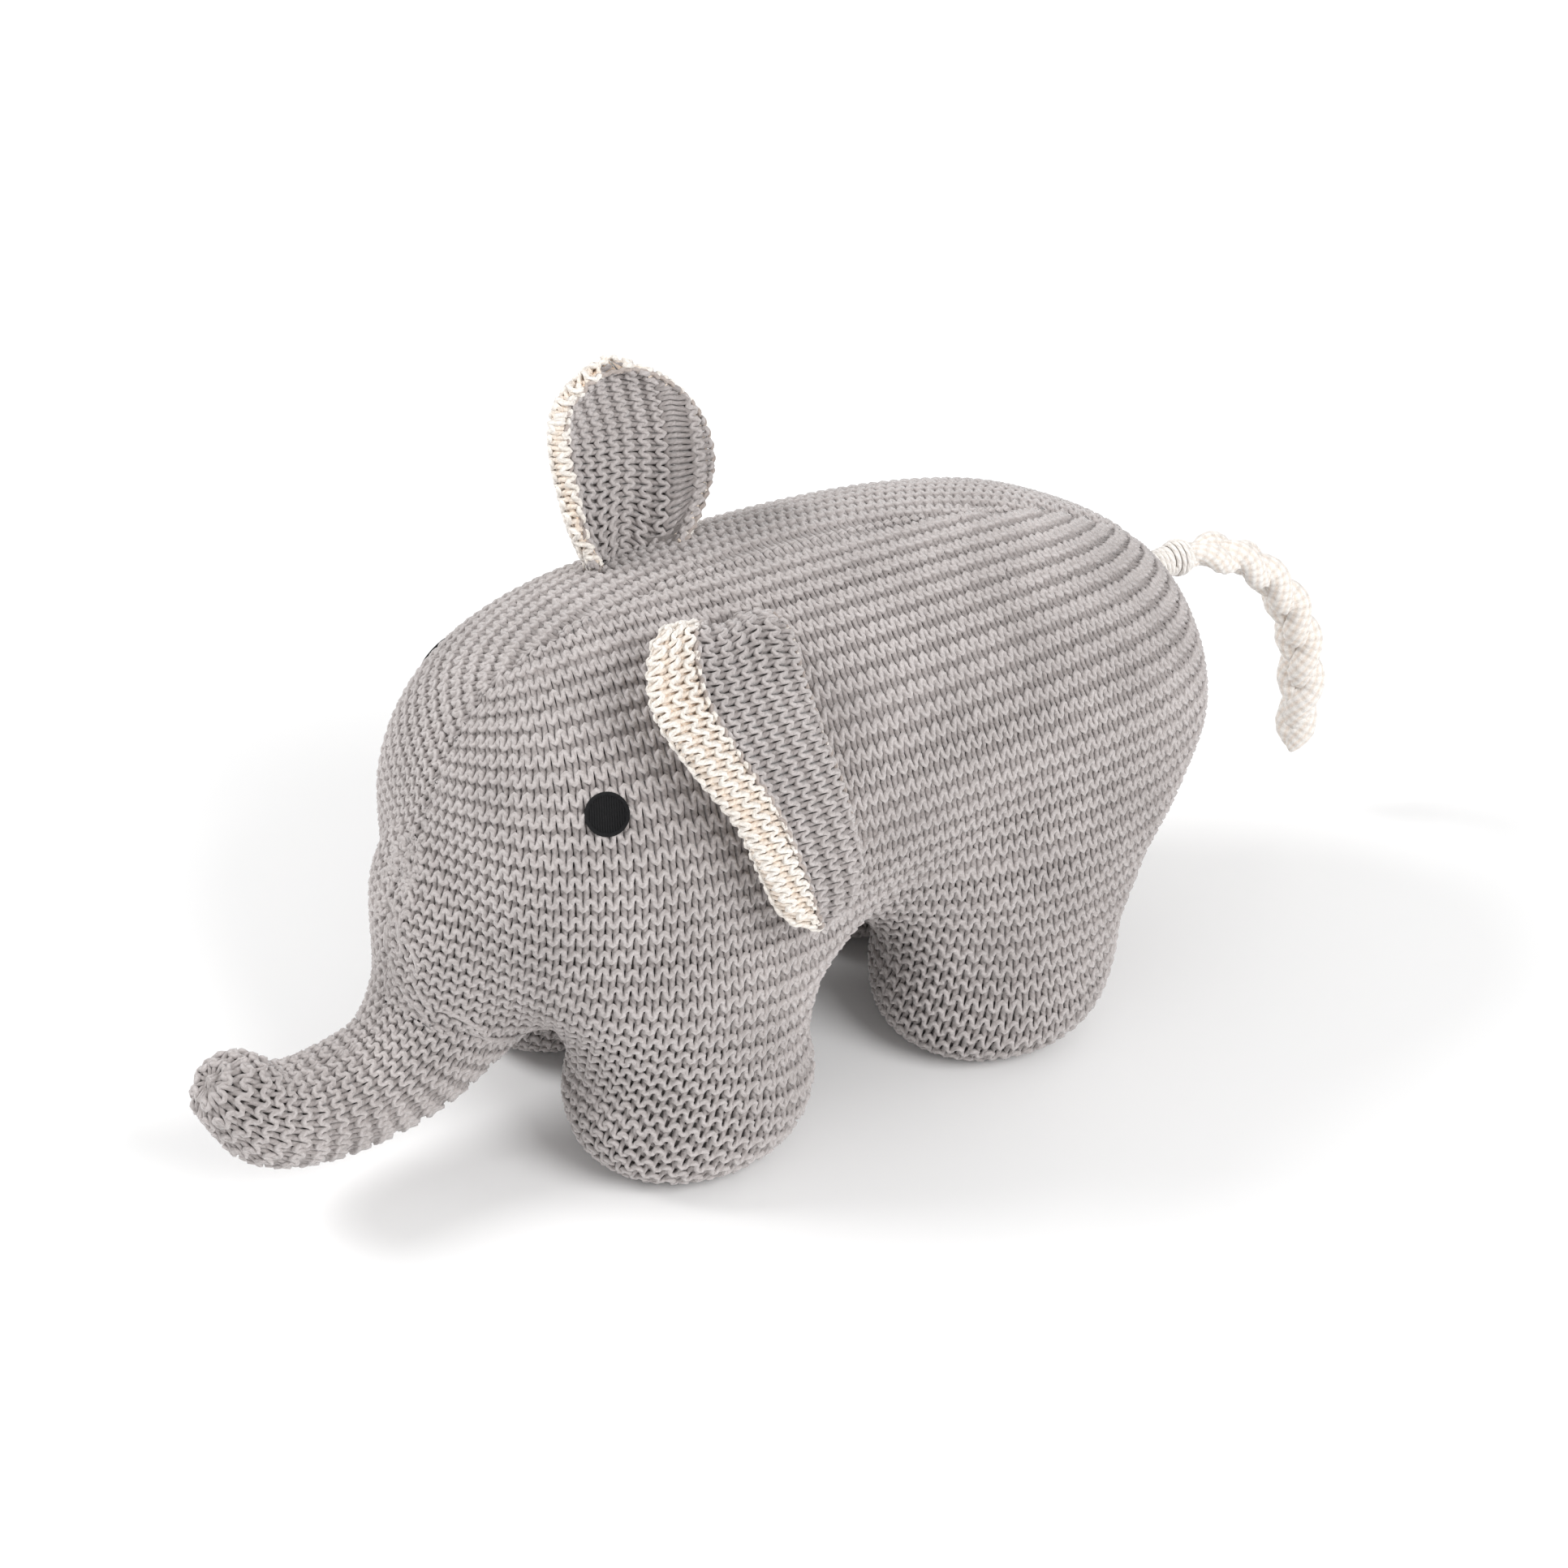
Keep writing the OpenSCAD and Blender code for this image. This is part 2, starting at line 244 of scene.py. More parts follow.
class Surface:
    """A triangle mesh with the gradient operator that the fields are solved with."""

    def __init__(self, points, tris):
        used = np.unique(tris)
        renumber = np.full(len(points), -1)
        renumber[used] = np.arange(len(used))
        self.p = points[used]
        self.t = renumber[tris]
        a, b, c = (self.p[self.t[:, k]] for k in range(3))
        normal = np.cross(b - a, c - a)
        double_area = np.linalg.norm(normal, axis=1)
        keep = double_area > 1e-4
        self.t = self.t[keep]
        a, b, c, normal, double_area = (x[keep] for x in (a, b, c, normal, double_area))
        self.n = normal / double_area[:, None]
        self.area = double_area / 2
        self.mid = (a + b + c) / 3
        self.shape_grads = [np.cross(self.n, e) / double_area[:, None] for e in (c - b, a - c, b - a)]

    def grad(self, f):
        """The gradient, in each triangle, of values at the points."""
        return sum(g * f[self.t[:, k], None] for k, g in enumerate(self.shape_grads))

    def scatter(self, field, weight):
        """The transpose of grad: from weighted triangles back to the points."""
        out = np.zeros(len(self.p))
        for k, g in enumerate(self.shape_grads):
            out += np.bincount(self.t[:, k], (g * field).sum(1) * weight, len(self.p))
        return out

    def solve(self, wanted, weight, rounds=700):
        """The values at the points whose gradient is nearest to the wanted one."""
        w = self.area * weight
        b = self.scatter(wanted, w)
        diagonal = np.full(len(self.p), 1e-9)
        for k, g in enumerate(self.shape_grads):
            diagonal += np.bincount(self.t[:, k], (g * g).sum(1) * w, len(self.p))
        x = np.zeros(len(self.p))
        r = b.copy()
        z = r / diagonal
        d = z.copy()
        rz = r @ z
        for _ in range(rounds):
            q = self.scatter(self.grad(d), w)
            step = rz / max(d @ q, 1e-30)
            x += step * d
            r -= step * q
            z = r / diagonal
            rz, old = r @ z, rz
            if rz < 1e-10:
                break
            d = z + rz / old * d
        return x

    def at_points(self, per_triangle):
        """A field of the triangles, averaged at their points by area."""
        out = np.zeros((len(self.p), 3))
        total = np.zeros(len(self.p))
        for k in range(3):
            for axis in range(3):
                out[:, axis] += np.bincount(self.t[:, k], per_triangle[:, axis] * self.area, len(self.p))
            total += np.bincount(self.t[:, k], self.area, len(self.p))
        return out / np.maximum(total, 1e-9)[:, None]


# Ahead of FACE_Y is only the face and the trunk
FACE_Y = -84
GUSSET_HALF = 22
GUSSET_TOP = 46


def in_gusset(p):
    """The belly and the inner legs, sewn in between the two side panels."""
    return (np.abs(p[:, 0]) < GUSSET_HALF) & (p[:, 2] < GUSSET_TOP) & (p[:, 1] > FACE_Y)


def wale_direction(p, n):
    """Which way one row follows the next: up the sides, in over the belly, up the trunk."""
    over = np.column_stack([-n[:, 2], np.zeros(len(n)), n[:, 0]])
    up = np.array([0, 0, 1.0]) - n * n[:, 2:3]
    up[:, 1] *= np.clip((np.abs(n[:, 1]) - 0.2) / 0.5, 0, 1)
    side = unit(over + up)
    belly = unit(up - over)
    flat = np.where(in_gusset(p)[:, None], belly, side)
    centres = TRUNK_FINE[:, :2]
    nearest = ((p[:, None, 1:] - centres[None]) ** 2).sum(2).argmin(1)
    along = np.zeros((len(centres), 3))
    along[:, 1:] = -np.gradient(centres, axis=0)
    axis = unit(along)[nearest]
    trunk = axis - n * (axis * n).sum(1)[:, None]
    share = np.clip((trunk_side(p) + 22) / 26, 0, 1)
    share *= (torso_distance(p) > -4) | (trunk_side(p) > 0)
    share = (share * share * (3 - 2 * share))[:, None]
    return unit(flat * (1 - share) + trunk * share)


def chains(surface, values):
    """The lines of whole-number value, as lists of (level, point, point) for the edges they cross."""
    t = surface.t
    v = values[t]
    first = np.ceil(v.min(1) + 1e-9).astype(int)
    count = np.maximum(np.floor(v.max(1) - 1e-9).astype(int) - first + 1, 0)
    which = np.repeat(np.arange(len(t)), count)
    start = np.cumsum(count) - count
    level = first[which] + np.arange(len(which)) - start[which]
    links = {}
    corners = t[which]
    vals = v[which]
    for i in range(len(which)):
        keys = []
        for a, b in ((0, 1), (1, 2), (2, 0)):
            if (vals[i, a] - level[i]) * (vals[i, b] - level[i]) < 0:
                pa, pb = corners[i, a], corners[i, b]
                keys.append((level[i], min(pa, pb), max(pa, pb)))
        if len(keys) == 2:
            links.setdefault(keys[0], []).append(keys[1])
            links.setdefault(keys[1], []).append(keys[0])
    seen = set()
    found = []
    starts = [k for k in links if len(links[k]) == 1] + list(links)
    for key in starts:
        if key in seen:
            continue
        line = [key]
        seen.add(key)
        while True:
            following = [k for k in links[line[-1]] if k not in seen]
            if not following:
                break
            line.append(following[0])
            seen.add(following[0])
        if len(line) > 3:
            found.append(line)
    return found


def row_lines(surface, v, u, point_fields):
    """For each row: its number, its stitch count and its fields, at the mesh edges it crosses."""
    rows = []
    for line in chains(surface, v):
        keys = np.array(line)
        a, b = keys[:, 1], keys[:, 2]
        share = ((keys[:, 0] - v[a]) / (v[b] - v[a]))[:, None]
        fields = [f[a] * (1 - share) + f[b] * share for f in point_fields]
        along = u[a] * (1 - share[:, 0]) + u[b] * share[:, 0]
        rows.append((int(keys[0, 0]), along, fields))
    return rows


# The shortest row that is knitted, and how far the stitch count may stray from the length
SHORTEST_ROW = 1.0
PACE = (0.6, 1.6)


def even_phase(along, points):
    """Make the stitch count rise steadily along a row."""
    if along[-1] < along[0]:
        along = -along
    length = lengths_along(points)
    if length[-1] < SHORTEST_ROW:
        return None
    pace = (along[-1] - along[0]) * STITCH / length[-1]
    if not PACE[0] < pace < PACE[1]:
        return along[0] + length / STITCH
    steps = np.linalg.norm(np.diff(points, axis=0), axis=1)
    rise = np.maximum(np.diff(along), 0.25 * steps / STITCH)
    rise *= (along[-1] - along[0]) / rise.sum()
    return along[0] + np.concatenate([[0], np.cumsum(rise)])


# Points to a stitch, and how far a loop leans aside, in and out, and over the next rows
SAMPLES = 10
LOOP_LEAN = 0.09
LOOP_DEPTH = 0.80
LOOP_REACH = 1.02


def loops(row, along, points, wales):
    """One row's line, its yarn with two loops to a stitch, and the yarn's depth in mm and as a share.

    Even rows are bowed out where odd rows are bowed in, as in garter stitch."""
    first = math.ceil(along[0] * SAMPLES)
    last = math.floor(along[-1] * SAMPLES)
    if last - first < SAMPLES // 2:
        return None
    phase = np.arange(first, last + 1) / SAMPLES
    turn = 2 * math.pi * phase
    wobble = 0.10 * np.sin(turn * 0.23 + row * 2.1) + 0.07 * np.sin(turn * 0.41 + row * 4.7)
    place = phase + LOOP_LEAN * np.sin(2 * turn)
    take = np.clip(place, along[0], along[-1])
    line = between(take, along, points)
    reach = LOOP_REACH * (1 + wobble)
    path = line + between(take, along, wales) * (reach * np.cos(turn))[:, None]
    depth = row_side(row) * LOOP_DEPTH * np.cos(turn)
    return line, path, depth, depth / LOOP_DEPTH


def row_side(row):
    return 1.0 if row % 2 == 0 else -1.0


def ring_quads(count, sides):
    """The faces between closed rings of points, one ring after another."""
    i = np.arange(count - 1)[:, None] * sides
    k = np.arange(sides)[None]
    k2 = (k + 1) % sides
    return np.stack([i + k, i + k2, i + sides + k2, i + sides + k], axis=2).reshape(-1, 4)


def tube(path, facing, radius, sides):
    """Points, quads and end triangles of a closed tube round a path.

    Facing is roughly square to the path, one direction or one for each point. The radius is one
    number, or one for each point of each ring."""
    tangent = unit(np.gradient(path, axis=0))
    across = unit(np.cross(facing, tangent))
    out = np.cross(tangent, across)
    angle = 2 * math.pi * np.arange(sides) / sides
    radius = np.broadcast_to(radius, (len(path), sides))
    rings = path[:, None] + radius[:, :, None] * (
        across[:, None] * np.cos(angle)[None, :, None] + out[:, None] * np.sin(angle)[None, :, None])
    points = np.vstack([rings.reshape(-1, 3), path[:1], path[-1:]])
    here = np.arange(sides)
    following = np.roll(here, -1)
    middle = len(path) * sides
    last = middle - sides
    caps = np.vstack([
        np.column_stack([following, here, np.full(sides, middle)]),
        np.column_stack([here + last, following + last, np.full(sides, middle + 1)])])
    return points, ring_quads(len(path), sides), caps


class Yarns:
    """Tubes gathered into one mesh, with the length and turn of the yarn as a UV map."""

    def __init__(self):
        self.points, self.quads, self.tris, self.lengths, self.depths = [], [], [], [], []
        self.count = 0

    def add(self, path, facing, radius, sides=5, depth=None):
        """Depth is from -1, at the back of the knitting, to 1, in front, like the radius in tube."""
        points, quads, caps = tube(path, facing, radius, sides)
        length = lengths_along(path)
        depth = np.broadcast_to(1.0 if depth is None else depth, (len(path), sides))
        self.depths.append(np.concatenate([depth.ravel(), depth.max(1)[[0, -1]]]))
        self.quads.append(quads + self.count)
        self.tris.append(caps + self.count)
        self.points.append(points)
        around = np.concatenate([np.tile(np.arange(sides) / sides, len(path)), [0, 0]])
        along = np.concatenate([np.repeat(length, sides), [length[0], length[-1]]])
        self.lengths.append(np.column_stack([along, around]))
        self.count += len(points)

    def build(self, name, material):
        points = to_frame(np.vstack(self.points))
        obj = mesh_object(name, points, np.vstack(self.quads), np.vstack(self.tris), material,
                          np.vstack(self.lengths))
        # The yarn's depth, which the yarn materials turn into painted shade at the back of the knitting
        depth = obj.data.attributes.new("depth", "FLOAT", "POINT")
        depth.data.foreach_set("value", np.concatenate(self.depths).astype(np.float32))
        return obj


def one_yarn(name, path, facing, radius, sides, material):
    yarns = Yarns()
    yarns.add(path, facing, radius, sides)
    return yarns.build(name, material)


def mesh_object(name, points, quads, tris, material, uv=None, smooth=True):
    """A mesh in the scene from arrays in the frame's metres, with a UV for each point if given."""
    quads = np.asarray(quads, int).reshape(-1, 4)
    tris = np.asarray(tris, int).reshape(-1, 3)
    mesh = bpy.data.meshes.new(name)
    mesh.vertices.add(len(points))
    mesh.vertices.foreach_set("co", np.asarray(points, np.float32).ravel())
    corner = np.concatenate([quads.ravel(), tris.ravel()]).astype(np.int32)
    mesh.loops.add(len(corner))
    mesh.loops.foreach_set("vertex_index", corner)
    starts = np.concatenate([np.arange(len(quads)) * 4,
                             len(quads) * 4 + np.arange(len(tris)) * 3]).astype(np.int32)
    mesh.polygons.add(len(starts))
    mesh.polygons.foreach_set("loop_start", starts)
    mesh.update(calc_edges=True)
    mesh.validate()
    mesh.polygons.foreach_set("use_smooth", np.full(len(mesh.polygons), smooth))
    if uv is not None:
        layer = mesh.uv_layers.new(name="thread")
        index = np.empty(len(mesh.loops), np.int32)
        mesh.loops.foreach_get("vertex_index", index)
        layer.data.foreach_set("uv", uv[index].astype(np.float32).ravel())
    mesh.materials.append(material)
    obj = bpy.data.objects.new(name, mesh)
    bpy.context.scene.collection.objects.link(obj)
    return obj


def place(obj, body, slot, node=None):
    """Ride a piece on its body, and hide the CAD node that it stands for, if one is given. The slot is
    not used.
    """
    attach(obj, body)
    if node:
        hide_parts(node)


# -------- materials

class Nodes:
    """A material's node tree, with short ways to add and link nodes."""

    def __init__(self, name):
        self.material = bpy.data.materials.new(name)
        self.material.use_nodes = True
        self.tree = self.material.node_tree
        self.shader = self.tree.nodes["Principled BSDF"]

    def add(self, kind, **settings):
        node = self.tree.nodes.new(kind)
        for key, value in settings.items():
            setattr(node, key, value)
        return node

    def link(self, source, target):
        self.tree.links.new(source, target)

    def calc(self, operation, *inputs):
        """A Math node on outputs of other nodes and plain numbers."""
        node = self.add("ShaderNodeMath", operation=operation)
        for socket, value in zip(node.inputs, inputs):
            if isinstance(value, bpy.types.NodeSocket):
                self.link(value, socket)
            else:
                socket.default_value = value
        return node.outputs["Value"]

    def ramp(self, source, stops):
        node = self.add("ShaderNodeValToRGB")
        while len(node.color_ramp.elements) < len(stops):
            node.color_ramp.elements.new(0.5)
        for element, (place, colour) in zip(node.color_ramp.elements, stops):
            element.position = place
            element.color = (*colour, 1)
        self.link(source, node.inputs["Fac"])
        return node.outputs["Color"]

    def noise(self, scale, detail=3.0):
        where = self.add("ShaderNodeNewGeometry")
        node = self.add("ShaderNodeTexNoise")
        node.inputs["Scale"].default_value = scale
        node.inputs["Detail"].default_value = detail
        self.link(where.outputs["Position"], node.inputs["Vector"])
        return node.outputs["Fac"]

    def mix(self, how, share, a, b):
        node = self.add("ShaderNodeMix", data_type="RGBA", blend_type=how)
        node.inputs["Factor"].default_value = share
        self.link(a, node.inputs["A"])
        self.link(b, node.inputs["B"])
        return node.outputs["Result"]

    def bump(self, height, strength, distance):
        node = self.add("ShaderNodeBump")
        node.inputs["Strength"].default_value = strength
        node.inputs["Distance"].default_value = distance
        self.link(height, node.inputs["Height"])
        self.link(node.outputs["Normal"], self.shader.inputs["Normal"])

    def cloth_shader(self, colour, roughness=0.9, sheen=0.35, sheen_roughness=0.5):
        self.link(colour, self.shader.inputs["Base Color"])
        self.shader.inputs["Roughness"].default_value = roughness
        self.shader.inputs["Specular IOR Level"].default_value = 0.2
        self.shader.inputs["Sheen Weight"].default_value = sheen
        self.shader.inputs["Sheen Roughness"].default_value = sheen_roughness
        return self.material


def twisted_thread(nodes, twists_per_mm, plies):
    """A wave that winds round a thread, from its length and turn in the UV map."""
    uv = nodes.add("ShaderNodeUVMap", uv_map="thread")
    split = nodes.add("ShaderNodeSeparateXYZ")
    nodes.link(uv.outputs["UV"], split.inputs["Vector"])
    along = nodes.calc("MULTIPLY", split.outputs["X"], twists_per_mm)
    total = nodes.calc("MULTIPLY_ADD", split.outputs["Y"], plies, along)
    wave = nodes.calc("SINE", nodes.calc("MULTIPLY", total, 2 * math.pi))
    return nodes.calc("MULTIPLY_ADD", wave, 0.5, 0.5)


def yarn_material(name, dark, light, sheen=0.35, back=(0.42, 0.41, 0.40)):
    """Spun cotton: a slow change of tone, a fine fleck of fibres, and the plies' twist.

    What lies at the back of the knitting is darkened with painted shade, towards the colour given as
    back."""
    nodes = Nodes(name)
    deep = nodes.add("ShaderNodeAttribute", attribute_name="depth")
    share = nodes.calc("MULTIPLY_ADD", deep.outputs["Fac"], 0.5, 0.5)
    # Painted shade: the deeper the yarn lies in the knitting, the darker it is made
    painted_depth_shade = nodes.ramp(share, [(0.15, back), (0.85, (1, 1, 1))])
    tone = nodes.ramp(nodes.noise(55, 2.0), [(0.30, dark), (0.70, light)])
    fleck = nodes.ramp(nodes.noise(2600, 2.0), [(0.30, (0.78, 0.78, 0.78)), (0.65, (1, 1, 1))])
    ply = twisted_thread(nodes, 0.45, 2)
    # Painted shade in the grooves between the plies; the bump from the same wave is real relief
    shade = nodes.ramp(ply, [(0.0, (0.82, 0.81, 0.80)), (0.6, (1, 1, 1))])
    colour = nodes.mix("MULTIPLY", 0.8, nodes.mix("MULTIPLY", 0.8, tone, fleck), shade)
    colour = nodes.mix("MULTIPLY", 1.0, colour, painted_depth_shade)
    nodes.bump(ply, 0.5, 0.0002)
    return nodes.cloth_shader(colour, 0.95, sheen)


def plain_cloth_material(name, dark, light, scale=900, sheen=0.2):
    """Matted fibres: fine noise in colour and height."""
    nodes = Nodes(name)
    grain = nodes.noise(scale, 4.0)
    colour = nodes.ramp(grain, [(0.3, dark), (0.7, light)])
    nodes.bump(grain, 0.6, 0.0004)
    return nodes.cloth_shader(colour, 0.95, sheen)


# The back colours are painted shade for the yarn at the back of the knitting, between the loops
GREY_YARN = yarn_material("grey_yarn", (0.490, 0.452, 0.442), (0.595, 0.552, 0.541),
                          back=(0.66, 0.645, 0.64))
CREAM_YARN = yarn_material("cream_yarn", (0.92, 0.86, 0.79), (0.95, 0.91, 0.86),
                           back=(0.96, 0.87, 0.79))
CORD_YARN = yarn_material("cord_yarn", (0.93, 0.885, 0.835), (0.96, 0.93, 0.895),
                          back=(0.90, 0.82, 0.75))
EYE_YARN = yarn_material("eye_yarn", (0.009, 0.009, 0.010), (0.018, 0.018, 0.019), 0.0)
SEAM_YARN = yarn_material("seam_yarn", (0.47, 0.435, 0.425), (0.56, 0.52, 0.51))
RIM_YARN = yarn_material("rim_yarn", (0.42, 0.36, 0.33), (0.52, 0.455, 0.42))
# Painted shade: the grey lining stands for the knitting's back layer, coloured darker than its yarn for
# the shade between the loops
SHADED_GREY_LINING = plain_cloth_material("shaded_grey_lining", (0.25, 0.225, 0.215), (0.33, 0.30, 0.29))
# Painted shade: the cream lining is darker and more peach than the cream yarn, for the shade between the
# loops
SHADED_CREAM_LINING = plain_cloth_material("shaded_cream_lining", (0.78, 0.60, 0.46), (0.86, 0.70, 0.56))
STUFFING = plain_cloth_material("stuffing", (0.72, 0.72, 0.70), (0.88, 0.88, 0.86), 300)

# -------- camera, floor and light

VIEW_AZIMUTH = math.radians(57.3)
VIEW_HEIGHT = math.radians(35.7)
VIEW_DISTANCE = 1000.0
VIEW_TARGET = np.array([0.0, -20.0, 70.0])


def make_camera():
    toward = np.array([math.sin(VIEW_AZIMUTH) * math.cos(VIEW_HEIGHT),
                       -math.cos(VIEW_AZIMUTH) * math.cos(VIEW_HEIGHT), math.sin(VIEW_HEIGHT)])
    camera = bpy.data.cameras.new("camera")
    camera.lens = 100.6
    camera.sensor_width = 36
    camera.shift_x = 0.0254
    camera.shift_y = -0.001
    camera.clip_end = 20
    obj = bpy.data.objects.new("camera", camera)
    obj.location = Vector(to_frame(VIEW_TARGET + toward * VIEW_DISTANCE))
    obj.rotation_euler = Vector(toward).to_track_quat("Z", "Y").to_euler()
    bpy.context.scene.collection.objects.link(obj)
    bpy.context.scene.camera = obj


def make_floor():
    nodes = Nodes("floor")
    colour = nodes.ramp(nodes.noise(3, 2.0), [(0.3, (0.93, 0.93, 0.93)), (0.7, (0.95, 0.95, 0.95))])
    nodes.link(colour, nodes.shader.inputs["Base Color"])
    nodes.shader.inputs["Roughness"].default_value = 0.9
    nodes.shader.inputs["Specular IOR Level"].default_value = 0.1
    size, depth = 6.0, 0.01
    points = [(x, y, z) for z in (0, -depth) for x, y in
              ((-size, -size), (size, -size), (size, size), (-size, size))]
    quads = [(0, 1, 2, 3), (7, 6, 5, 4), (0, 4, 5, 1), (1, 5, 6, 2), (2, 6, 7, 3), (3, 7, 4, 0)]
    floor = mesh_object("floor", points, quads, [], nodes.material, smooth=False)


def make_lamp(name, place, size, power):
    lamp = bpy.data.lights.new(name, "AREA")
    lamp.shape = "DISK"
    lamp.size = size
    lamp.energy = power
    obj = bpy.data.objects.new(name, lamp)
    obj.location = place
    aim = Vector(place) - Vector((0, 0, 0.07))
    obj.rotation_euler = aim.to_track_quat("Z", "Y").to_euler()
    bpy.context.scene.collection.objects.link(obj)


def make_light():
    world = bpy.data.worlds.new("studio")
    world.use_nodes = True
    world.node_tree.nodes["Background"].inputs["Color"].default_value = (1, 1, 1, 1)
    world.node_tree.nodes["Background"].inputs["Strength"].default_value = 0.62
    bpy.context.scene.world = world
    bpy.context.scene.view_settings.view_transform = "Standard"
    make_lamp("key", (-0.85, -1.05, 1.25), 0.8, 18)
    make_lamp("fill", (1.4, 0.3, 1.2), 1.0, 20)
    make_lamp("rim", (-0.6, 1.2, 0.9), 0.8, 1)


# -------- the tail cord

TAIL_PIVOT = np.array([0.0, 102.4, 88.4])
TAIL_ROUTE = np.array([
    (0, 107.4, 87.8), (0, 112, 86.6), (0, 118, 84), (0, 124, 80), (0, 130, 74.4),
    (0, 135, 68), (0, 139, 61.2), (0, 141.8, 54.4), (0, 143.6, 47.4), (0, 144.5, 40.4),
    (0, 144.8, 34), (0, 144.6, 28), (0, 144, 22.6), (0, 143.2, 17.4)], float)
# One turn of the braid, along the route
BRAID_TURN = 39.0
# A strand's radius, and how far its middle swings aside and up
STRAND_R = 3.35
STRAND_ASIDE = 3.1
STRAND_RISE = 1.6
# The fine threads in a strand: how many, how much they wind in a millimetre, how deep they are cut
FLUTES = 9
FLUTE_TWIST = 0.16
FLUTE_DEPTH = 0.16


def even_route(route, step):
    """Points a fixed step apart along a route, and how far along each one is."""
    fine = smooth_curve(route, 12)
    length = lengths_along(fine)
    where = np.linspace(0, length[-1], int(length[-1] / step) + 1)
    return between(where, length, fine), where


def add_strand(yarns, path, facing, radius, sides=24):
    """One strand of a braid: a bundle of fine threads that winds round its own middle."""
    angle = 2 * math.pi * np.arange(sides) / sides
    winding = FLUTE_TWIST * lengths_along(path)[:, None]
    lobes = np.abs(np.sin(0.5 * FLUTES * (angle[None] - winding)))
    ring_radius = radius[:, None] * (1 - FLUTE_DEPTH * (1 - lobes))
    # The grooves between the fine threads are made darker with painted shade, through the yarn's depth
    yarns.add(path, facing, ring_radius, sides, 2 * lobes - 1)


def make_tail():
    """Three strands, braided, that close into one long twisted end."""
    path, s = even_route(np.vstack([TAIL_PIVOT, TAIL_ROUTE]), 0.7)
    sideways = np.tile([1.0, 0, 0], (len(path), 1))
    up = np.cross(sideways, unit(np.gradient(path, axis=0)))
    total = s[-1]
    close = np.clip((s - (total - 20)) / 8, 0, 1)
    close = close * close * (3 - 2 * close)
    opening = np.clip(s / 9, 0, 1)
    plump = (0.86 + 0.14 * np.clip(s / 45, 0, 1)) * (0.6 + 0.4 * opening)
    tip = np.sqrt(np.clip((total - s) / 6.5, 0.02, 1))
    radius = STRAND_R * plump * (1 + close * 0.08) * np.clip(tip * 1.02, 0.12, 1)
    turn = 2 * math.pi * s / BRAID_TURN
    yarns = Yarns()
    for k in range(3):
        a = turn + 2 * math.pi * k / 3
        aside = STRAND_ASIDE * np.sin(a) * plump * (1 - close * 0.45)
        rise = STRAND_RISE * np.sin(2 * a) * plump * (1 - close * 0.4)
        centre = path + sideways * aside[:, None] + up * rise[:, None]
        add_strand(yarns, centre, up, radius)
    tail = yarns.build("tail_cord", CORD_YARN)
    place(tail, "tail", "tail_cotton", "tail_braid")


def make_tail_root():
    """The ring of thread that the tail is sewn on with, round the ball that it turns on."""
    turns = 7
    radius = 4.0
    t = np.linspace(0, 1, 40 * turns)
    angle = 2 * math.pi * turns * t
    lean = math.pi * (0.12 + 0.76 * t)
    path = TAIL_PIVOT + radius * np.column_stack([
        np.sin(lean) * np.cos(angle), -np.cos(lean), np.sin(lean) * np.sin(angle)])
    root = one_yarn("tail_wrap", path, unit(path - TAIL_PIVOT), 0.6, 6, CORD_YARN)
    place(root, "tail_base", "tail_cotton", "tail_root")


def make_tail_stub():
    """The start of the cord, bound with thread, from inside the body out to the ball."""
    start, end = TAIL_PIVOT + [0, -13, -1.0], TAIL_PIVOT + [0, -2.5, 0]
    turns = 9
    t = np.linspace(0, 1, 260)
    axis = start + (end - start) * t[:, None]
    angle = 2 * math.pi * turns * t
    out = np.column_stack([np.cos(angle), np.zeros(len(t)), np.sin(angle)])
    core = axis[::20]
    yarns = Yarns()
    yarns.add(core, [1.0, 0, 0], 3.1, 16)
    yarns.add(axis + 3.3 * out, out, 0.62, 6)
    stub = yarns.build("tail_stub", CORD_YARN)
    place(stub, "root", "tail_cotton")


# -------- the knitted body

PARTS = ("trunk", "head", "flank", "rump", "front_leg", "rear_leg", "front_gusset", "rear_gusset")
LEG_TOP = 47
HEAD_REAR = -30
RUMP_FRONT = 36
# The front legs are ahead of this, and the rear legs behind it
LEG_SPLIT_Y = -9
# Where the trunk's knitting parts from the head's, along the trunk from its pivot
TRUNK_CUT = -9
# The knitting stays this far from the middle plane
SEAM_SIDE = 0.4
MIRROR = np.array([-1.0, 1.0, 1.0])
# The least and most height of a row, in mm, and where rows are so pinched that they are left out
ROW_SIZES = (0.62, 1.6)
PINCHED = 0.3


def part_numbers(p):
    """Which piece of the body each point belongs to, as a place in PARTS."""
    low = p[:, 2] < LEG_TOP
    front = p[:, 1] < LEG_SPLIT_Y
    gusset = in_gusset(p)
    trunk = (trunk_side(p) > TRUNK_CUT) & (torso_distance(p) > -6) & (p[:, 1] < FACE_Y)
    number = np.full(len(p), PARTS.index("flank"))
    for name, there in (("head", p[:, 1] < HEAD_REAR), ("rump", p[:, 1] > RUMP_FRONT),
                        ("front_leg", low & front), ("rear_leg", low & ~front),
                        ("front_gusset", gusset & front), ("rear_gusset", gusset & ~front),
                        ("trunk", trunk)):
        number[there] = PARTS.index(name)
    return number


def seam_dip(p):
    """How far the knitting is drawn in along the seam down the middle."""
    return 0.5 * np.exp(-(p[:, 0] / 1.8) ** 2)


def knit_half(points, tris):
    """Rows of loops over the left half, gathered by piece as (path, facing, shade) triples."""
    whole = Surface(points, tris)
    wanted = wale_direction(whole.mid, whole.n) / ROW
    v = whole.solve(wanted, np.ones(len(wanted)))
    gathered = {name: [] for name in PARTS}
    gusset = in_gusset(whole.mid)
    for zone in (gusset, ~gusset):
        chart_rows(whole, v, zone, gathered)
    return gathered


